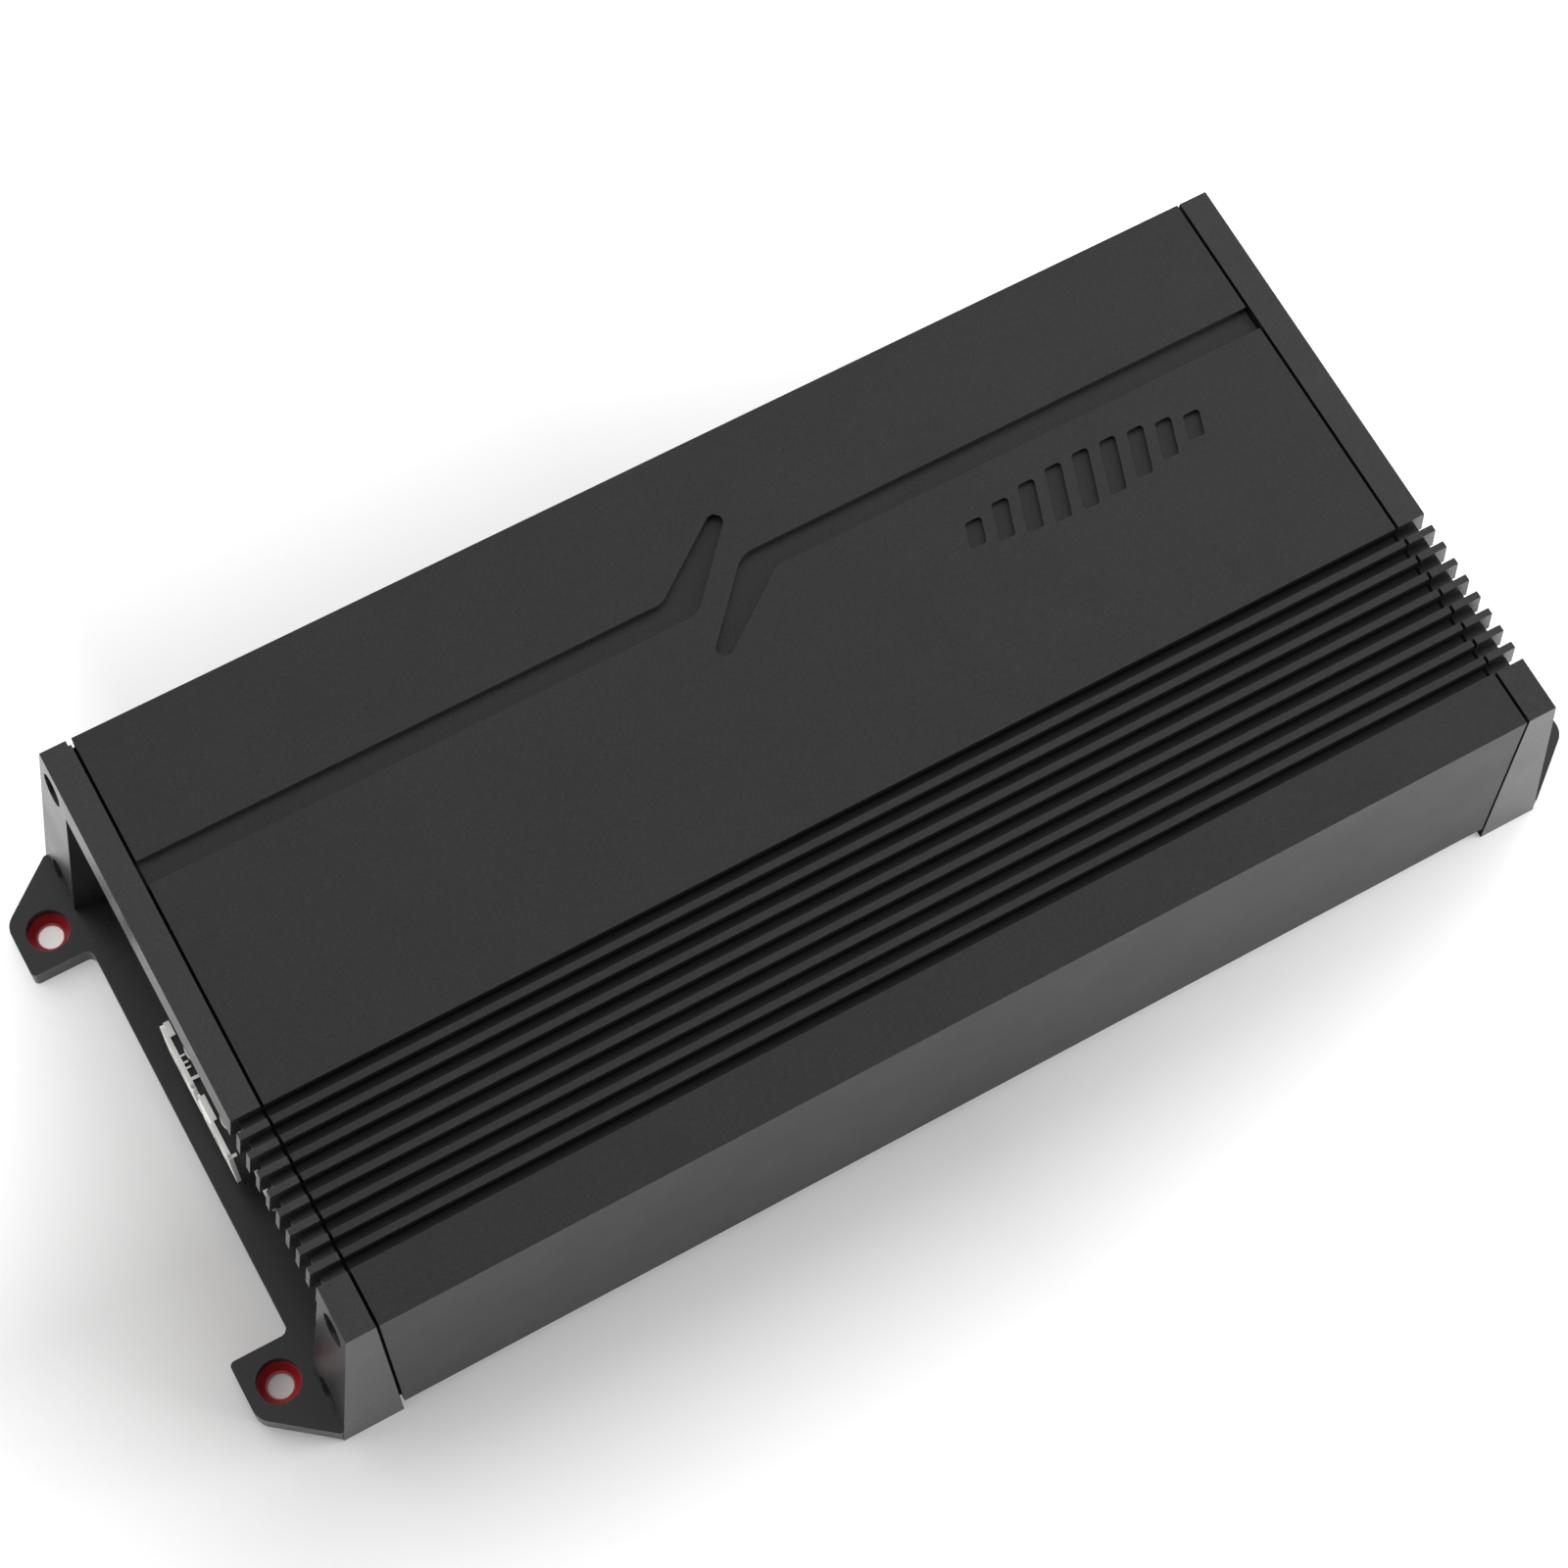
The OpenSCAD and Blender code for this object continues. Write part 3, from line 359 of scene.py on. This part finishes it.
# Printed marks, each a box given as y, z, width and height in mm
POWER_MARKS = (plus(BATTERY_Y, 29.2, 3.0, 0.55) + earth(GROUND_Y, 29.0)
               + plus(SPEAKER_Y[0], SPEAKER_SIGN_Z) + minus(SPEAKER_Y[1], SPEAKER_SIGN_Z)
               + plus(SPEAKER_Y[3], SPEAKER_SIGN_Z) + minus(SPEAKER_Y[2], SPEAKER_SIGN_Z)
               + [(y, 30.2, 12.0, 0.3) for y in SPEAKER_PAIRS_Y]
               + outline(FUSES_Y - 11.9, FUSES_Y + 11.9, 12.4, 38.2)
               + [(FUSES_Y, FUSE_SIGN_Z, 5.0, 0.4), (FUSES_Y, FUSE_SIGN_Z, 1.6, 1.3)]
               + [(REMOTE_TICK_Y, 25.4, 0.4, 2.2)])
CONTROL_MARKS = (outline(-47.6, -18.8, 15.6, 44.4)
                 + [(KNOB_ROW_Y, 25.4, 38.0, 0.3)]
                 + [(y, 17.0, 0.35, 1.3) for y in (-8.0, -6.0, -4.0, 10.5, 13.5)]
                 + [(y, 40.4, 1.4, 0.4) for y in (29.0, 36.0)]
                 + outline(22.0, 48.6, 15.6, 31.4))
looks = {
    # The tuples give corner width, strength and the lighter corner colour, worn coat and painted
    # highlight; the seam band is painted near-black shade.
    "shell_black": coated("shell_black", BLACK, 0.47, 0.45, 0.012, (0.3, 0.35, rgb(0.06, 0.06, 0.063)),
                          spec=0.25, painted_seam_shade=(SHELL_END - 0.05, SHELL_END + 0.1)),
    "cap_black": coated("cap_black", CAP_BLACK, 0.28, 0.45, 0.008, (0.3, 0.35, rgb(0.07, 0.07, 0.073)),
                        spec=0.3, painted_seam_shade=(SHELL_END - 1.0, CAP_INNER + 0.05)),
    "cover_black": coated("cover_black", rgb(0.013, 0.013, 0.0138), 0.55, 0.5, 0.02,
                          (0.3, 0.4, rgb(0.12, 0.12, 0.12))),
    "bush_red": moulded("bush_red", rgb(0.45, 0.012, 0.02), 0.34, 0.4, 0.006),
    "screw_black": metal("screw_black", rgb(0.045, 0.045, 0.047), 0.42),
    "panel_black": printed_panel("panel_black", rgb(0.016, 0.016, 0.017), CONTROL_MARKS, True),
    "block_black": moulded("block_black", rgb(0.016, 0.016, 0.017), 0.42),
    "nickel": metal("nickel", rgb(0.94, 0.93, 0.90), 0.36, (1, 1, 1), 1.5, 0.001, 0.05, shine=0.6),
    "set_screw_steel": metal("set_screw_steel", rgb(0.55, 0.55, 0.56), 0.34),
    "holder_black": moulded("holder_black", rgb(0.018, 0.018, 0.019), 0.45),
    "fuse_amber": clear_plastic("fuse_amber", rgb(1.0, 0.42, 0.03), 0.1),
    "blade_metal": metal("blade_metal", rgb(0.66, 0.66, 0.66), 0.3, (1, 5, 5)),
    "jack_block_black": jack_moulding("jack_block_black", rgb(0.018, 0.018, 0.019)),
    "jack_nickel": metal("jack_nickel", rgb(0.84, 0.81, 0.76), 0.18, (1, 8, 8)),
    "port_black": moulded("port_black", rgb(0.016, 0.016, 0.017), 0.38),
    "socket_white": moulded("socket_white", rgb(0.66, 0.63, 0.55), 0.4),
    "pin_gold": metal("pin_gold", rgb(0.85, 0.62, 0.26), 0.22),
    "pot_blue": moulded("pot_blue", rgb(0.02, 0.07, 0.15), 0.4),
    "knob_black": moulded("knob_black", rgb(0.018, 0.018, 0.0185), 0.45, 0.3, 0.012),
    "switch_steel": metal("switch_steel", rgb(0.6, 0.6, 0.61), 0.32, (1, 6, 1)),
    "slider_white": moulded("slider_white", rgb(0.72, 0.70, 0.64), 0.42),
    "light_blue": clear_plastic("light_blue", rgb(0.10, 0.30, 0.85)),
    "light_red": clear_plastic("light_red", rgb(0.80, 0.06, 0.04)),
    "board_green": board("board_green"),
    "post_brass": metal("post_brass", rgb(0.75, 0.55, 0.26), 0.3, (6, 6, 1)),
    "inner_screw_steel": metal("inner_screw_steel", rgb(0.6, 0.6, 0.61), 0.32),
    "ferrite": moulded("ferrite", rgb(0.035, 0.035, 0.036), 0.6, 0.5, 0.03),
    "copper": wound("copper", RING_CENTRE),
    "sleeve_blue": moulded("sleeve_blue", rgb(0.015, 0.03, 0.075), 0.28),
    "transistor_black": moulded("transistor_black", rgb(0.014, 0.014, 0.014), 0.5),
    "pad_grey": moulded("pad_grey", rgb(0.30, 0.36, 0.40), 0.7, 0.5, 0.02),
    "clamp_aluminium": metal("clamp_aluminium", rgb(0.62, 0.63, 0.64), 0.36, (0.3, 6, 6)),
}
for part in frame["record"]["subparts"]:
    obj = nodes[part["node"]]
    obj.data.materials.clear()
    obj.data.materials.append(looks[part["material_slot"]])
power_print = printed_panel("power_panel_black", rgb(0.016, 0.016, 0.017), POWER_MARKS)
nodes["power_panel"].data.materials[0] = power_print


# ---- rounded corners on the pieces that show ----------------------------------------------------
def round_corners(name, width_mm):
    obj = nodes[name]
    mod = obj.modifiers.new("corner", "BEVEL")
    mod.width = width_mm / 1000.0
    mod.segments = 2
    mod.limit_method = "ANGLE"
    mod.angle_limit = math.radians(35)
    mod.use_clamp_overlap = True


CORNERS = {
    "heatsink_shell": 0.2, "left_end_cap": 0.25, "right_end_cap": 0.25, "bottom_cover": 0.15,
    "power_panel": 0.12, "control_panel": 0.12, "ground_terminal": 0.25, "battery_terminal": 0.25,
    "remote_terminal": 0.2, "power_block": 0.3, "speaker_block": 0.3, "fuse_holder": 0.3,
    "fuse_1_body": 0.35, "fuse_2_body": 0.35, "phono_block": 0.2, "remote_port": 0.25,
    "high_level_socket": 0.2, "crossover_switch": 0.15, "range_switch": 0.15,
    "crossover_slider": 0.2, "range_slider": 0.2, "end_cap_screws": 0.2, "cover_screws": 0.12,
    "terminal_set_screws": 0.2, "clamp_bars": 0.25, "transistors": 0.15, "capacitors": 0.3,
}
CORNERS.update({"mounting_bush_%d" % i: 0.15 for i in range(1, 5)})
CORNERS.update({"speaker_terminal_%d" % i: 0.2 for i in range(1, 5)})
CORNERS.update({"phono_jack_%d" % i: 0.12 for i in range(1, 5)})
CORNERS.update({"%s_knob" % k: 0.15 for k in ("level", "low_pass", "high_pass", "bass")})
CORNERS.update({"%s_pot" % k: 0.2 for k in ("level", "low_pass", "high_pass", "bass")})
for name, width in CORNERS.items():
    round_corners(name, width)

# ---- floor and light ----------------------------------------------------------------------------
floor_mesh = bpy.data.meshes.new("floor")
HALF = 6.0
floor_mesh.from_pydata([(-HALF, -HALF, 0), (HALF, -HALF, 0), (HALF, HALF, 0), (-HALF, HALF, 0)], [],
                       [(0, 1, 2, 3)])
floor = bpy.data.objects.new("floor", floor_mesh)
scene.collection.objects.link(floor)
# White paper that glows a little: least close to the case, more away from it, and more again
# beyond its two ends. A remap gives two distances and the glow at each.
paper = Shader("floor_paper")
tint = paper.mix(paper.noise(400.0), rgb(0.86, 0.86, 0.86), rgb(0.9, 0.9, 0.9))
paper.set(Base_Color=tint, Roughness=0.9)
paper.bsdf.inputs["Specular IOR Level"].default_value = 0.1
reach = paper.add("ShaderNodeVectorMath", operation="LENGTH")
paper.link(paper.coords, reach.inputs[0])
floor_x, floor_y, _ = axes_mm(paper)
# Half the case's length and width on the floor, in mm
FOOT_X = 126.0
FOOT_Y = 62.0
beyond_x = paper.math("MAXIMUM", paper.math("SUBTRACT", paper.math("ABSOLUTE", floor_x), FOOT_X), 0.0)
beyond_y = paper.math("MAXIMUM", paper.math("SUBTRACT", paper.math("ABSOLUTE", floor_y), FOOT_Y), 0.0)
from_case = length_of(paper, beyond_x, beyond_y)
glow_near = paper.remap(from_case, 8.0, 90.0, 0.06, 0.5)
glow_far = paper.math("ADD", glow_near, paper.remap(reach.outputs["Value"], 0.5, 2.0, 0.0, 0.45))
glow_right = paper.remap(floor_x, 0.0, 250.0, 0.0, 0.5)
glow_left = paper.math("MULTIPLY", paper.remap(floor_x, -100.0, -200.0, 0.0, 1.4),
                       paper.remap(floor_y, -20.0, 80.0, 0.0, 1.0))
paper.bsdf.inputs["Emission Color"].default_value = (1.0, 1.0, 1.0, 1.0)
paper.feed(paper.bsdf.inputs["Emission Strength"],
           paper.math("ADD", glow_far, paper.math("ADD", glow_right, glow_left)))
floor_mesh.materials.append(paper.mat)

# A low white wall round the edge of the floor hides the horizon in low views.
WALL_R = 5.9
WALL_H = 0.9
WALL_SIDES = 96
ring = [(WALL_R * math.cos(a), WALL_R * math.sin(a))
        for a in (2 * math.pi * i / WALL_SIDES for i in range(WALL_SIDES))]
wall_mesh = bpy.data.meshes.new("wall")
wall_mesh.from_pydata([(x, y, z) for x, y in ring for z in (0.0, WALL_H)], [],
                      [(2 * i, 2 * i + 1, (2 * i + 3) % (2 * WALL_SIDES), (2 * i + 2) % (2 * WALL_SIDES))
                       for i in range(WALL_SIDES)])
wall_mesh.materials.append(paper.mat)
wall = bpy.data.objects.new("wall", wall_mesh)
scene.collection.objects.link(wall)

world = bpy.data.worlds.new("studio")
scene.world = world
world.use_nodes = True
background = next(n for n in world.node_tree.nodes if n.type == "BACKGROUND")
background.inputs["Color"].default_value = (1.0, 1.0, 1.0, 1.0)
# The sky is bright behind the case and dim in front of it.
direction = world.node_tree.nodes.new("ShaderNodeTexCoord")
split = world.node_tree.nodes.new("ShaderNodeSeparateXYZ")
backlit = world.node_tree.nodes.new("ShaderNodeMapRange")
for socket, value in (("From Min", -0.25), ("From Max", 0.25), ("To Min", 0.14), ("To Max", 1.2)):
    backlit.inputs[socket].default_value = value
world.node_tree.links.new(direction.outputs["Generated"], split.inputs[0])
world.node_tree.links.new(split.outputs["Y"], backlit.inputs["Value"])
world.node_tree.links.new(backlit.outputs["Result"], background.inputs["Strength"])


def softbox(name, at, to, size, power):
    data = bpy.data.lights.new(name, "AREA")
    data.shape = "RECTANGLE"
    data.size, data.size_y = size
    data.energy = power
    obj = bpy.data.objects.new(name, data)
    obj.location = at
    obj.rotation_mode = "QUATERNION"
    obj.rotation_quaternion = (Vector(to) - Vector(at)).to_track_quat("-Z", "Y")
    scene.collection.objects.link(obj)


AIM = (0, 0, 0.03)
softbox("key_right", (1.6, 0.35, 0.75), AIM, (2.2, 1.2), 17.0)
softbox("low_right_front", (1.0, -0.7, 0.35), AIM, (0.9, 0.5), 15.0)

scene.view_settings.view_transform = "Standard"
scene.view_settings.look = "None"
scene.view_settings.exposure = 0.0
scene.view_settings.gamma = 1.0

# ---- camera -------------------------------------------------------------------------------------
cam_data = bpy.data.cameras.new("camera")
cam_data.lens = 86.845
cam_data.sensor_width = 36.0
cam_data.clip_start = 0.01
cam_data.clip_end = 20.0
cam = bpy.data.objects.new("camera", cam_data)
scene.collection.objects.link(cam)
# Above the near left corner, tilted up from straight down, rolled a little and turned to the right
CAMERA_PLACE = (-0.141779, -0.218467, 0.666732)
CAMERA_ANGLES = (22.0750, -1.3560, -29.0224)
turned = Euler([math.radians(angle) for angle in CAMERA_ANGLES])
cam.matrix_world = Matrix.LocRotScale(Vector(CAMERA_PLACE), turned, None)
scene.camera = cam
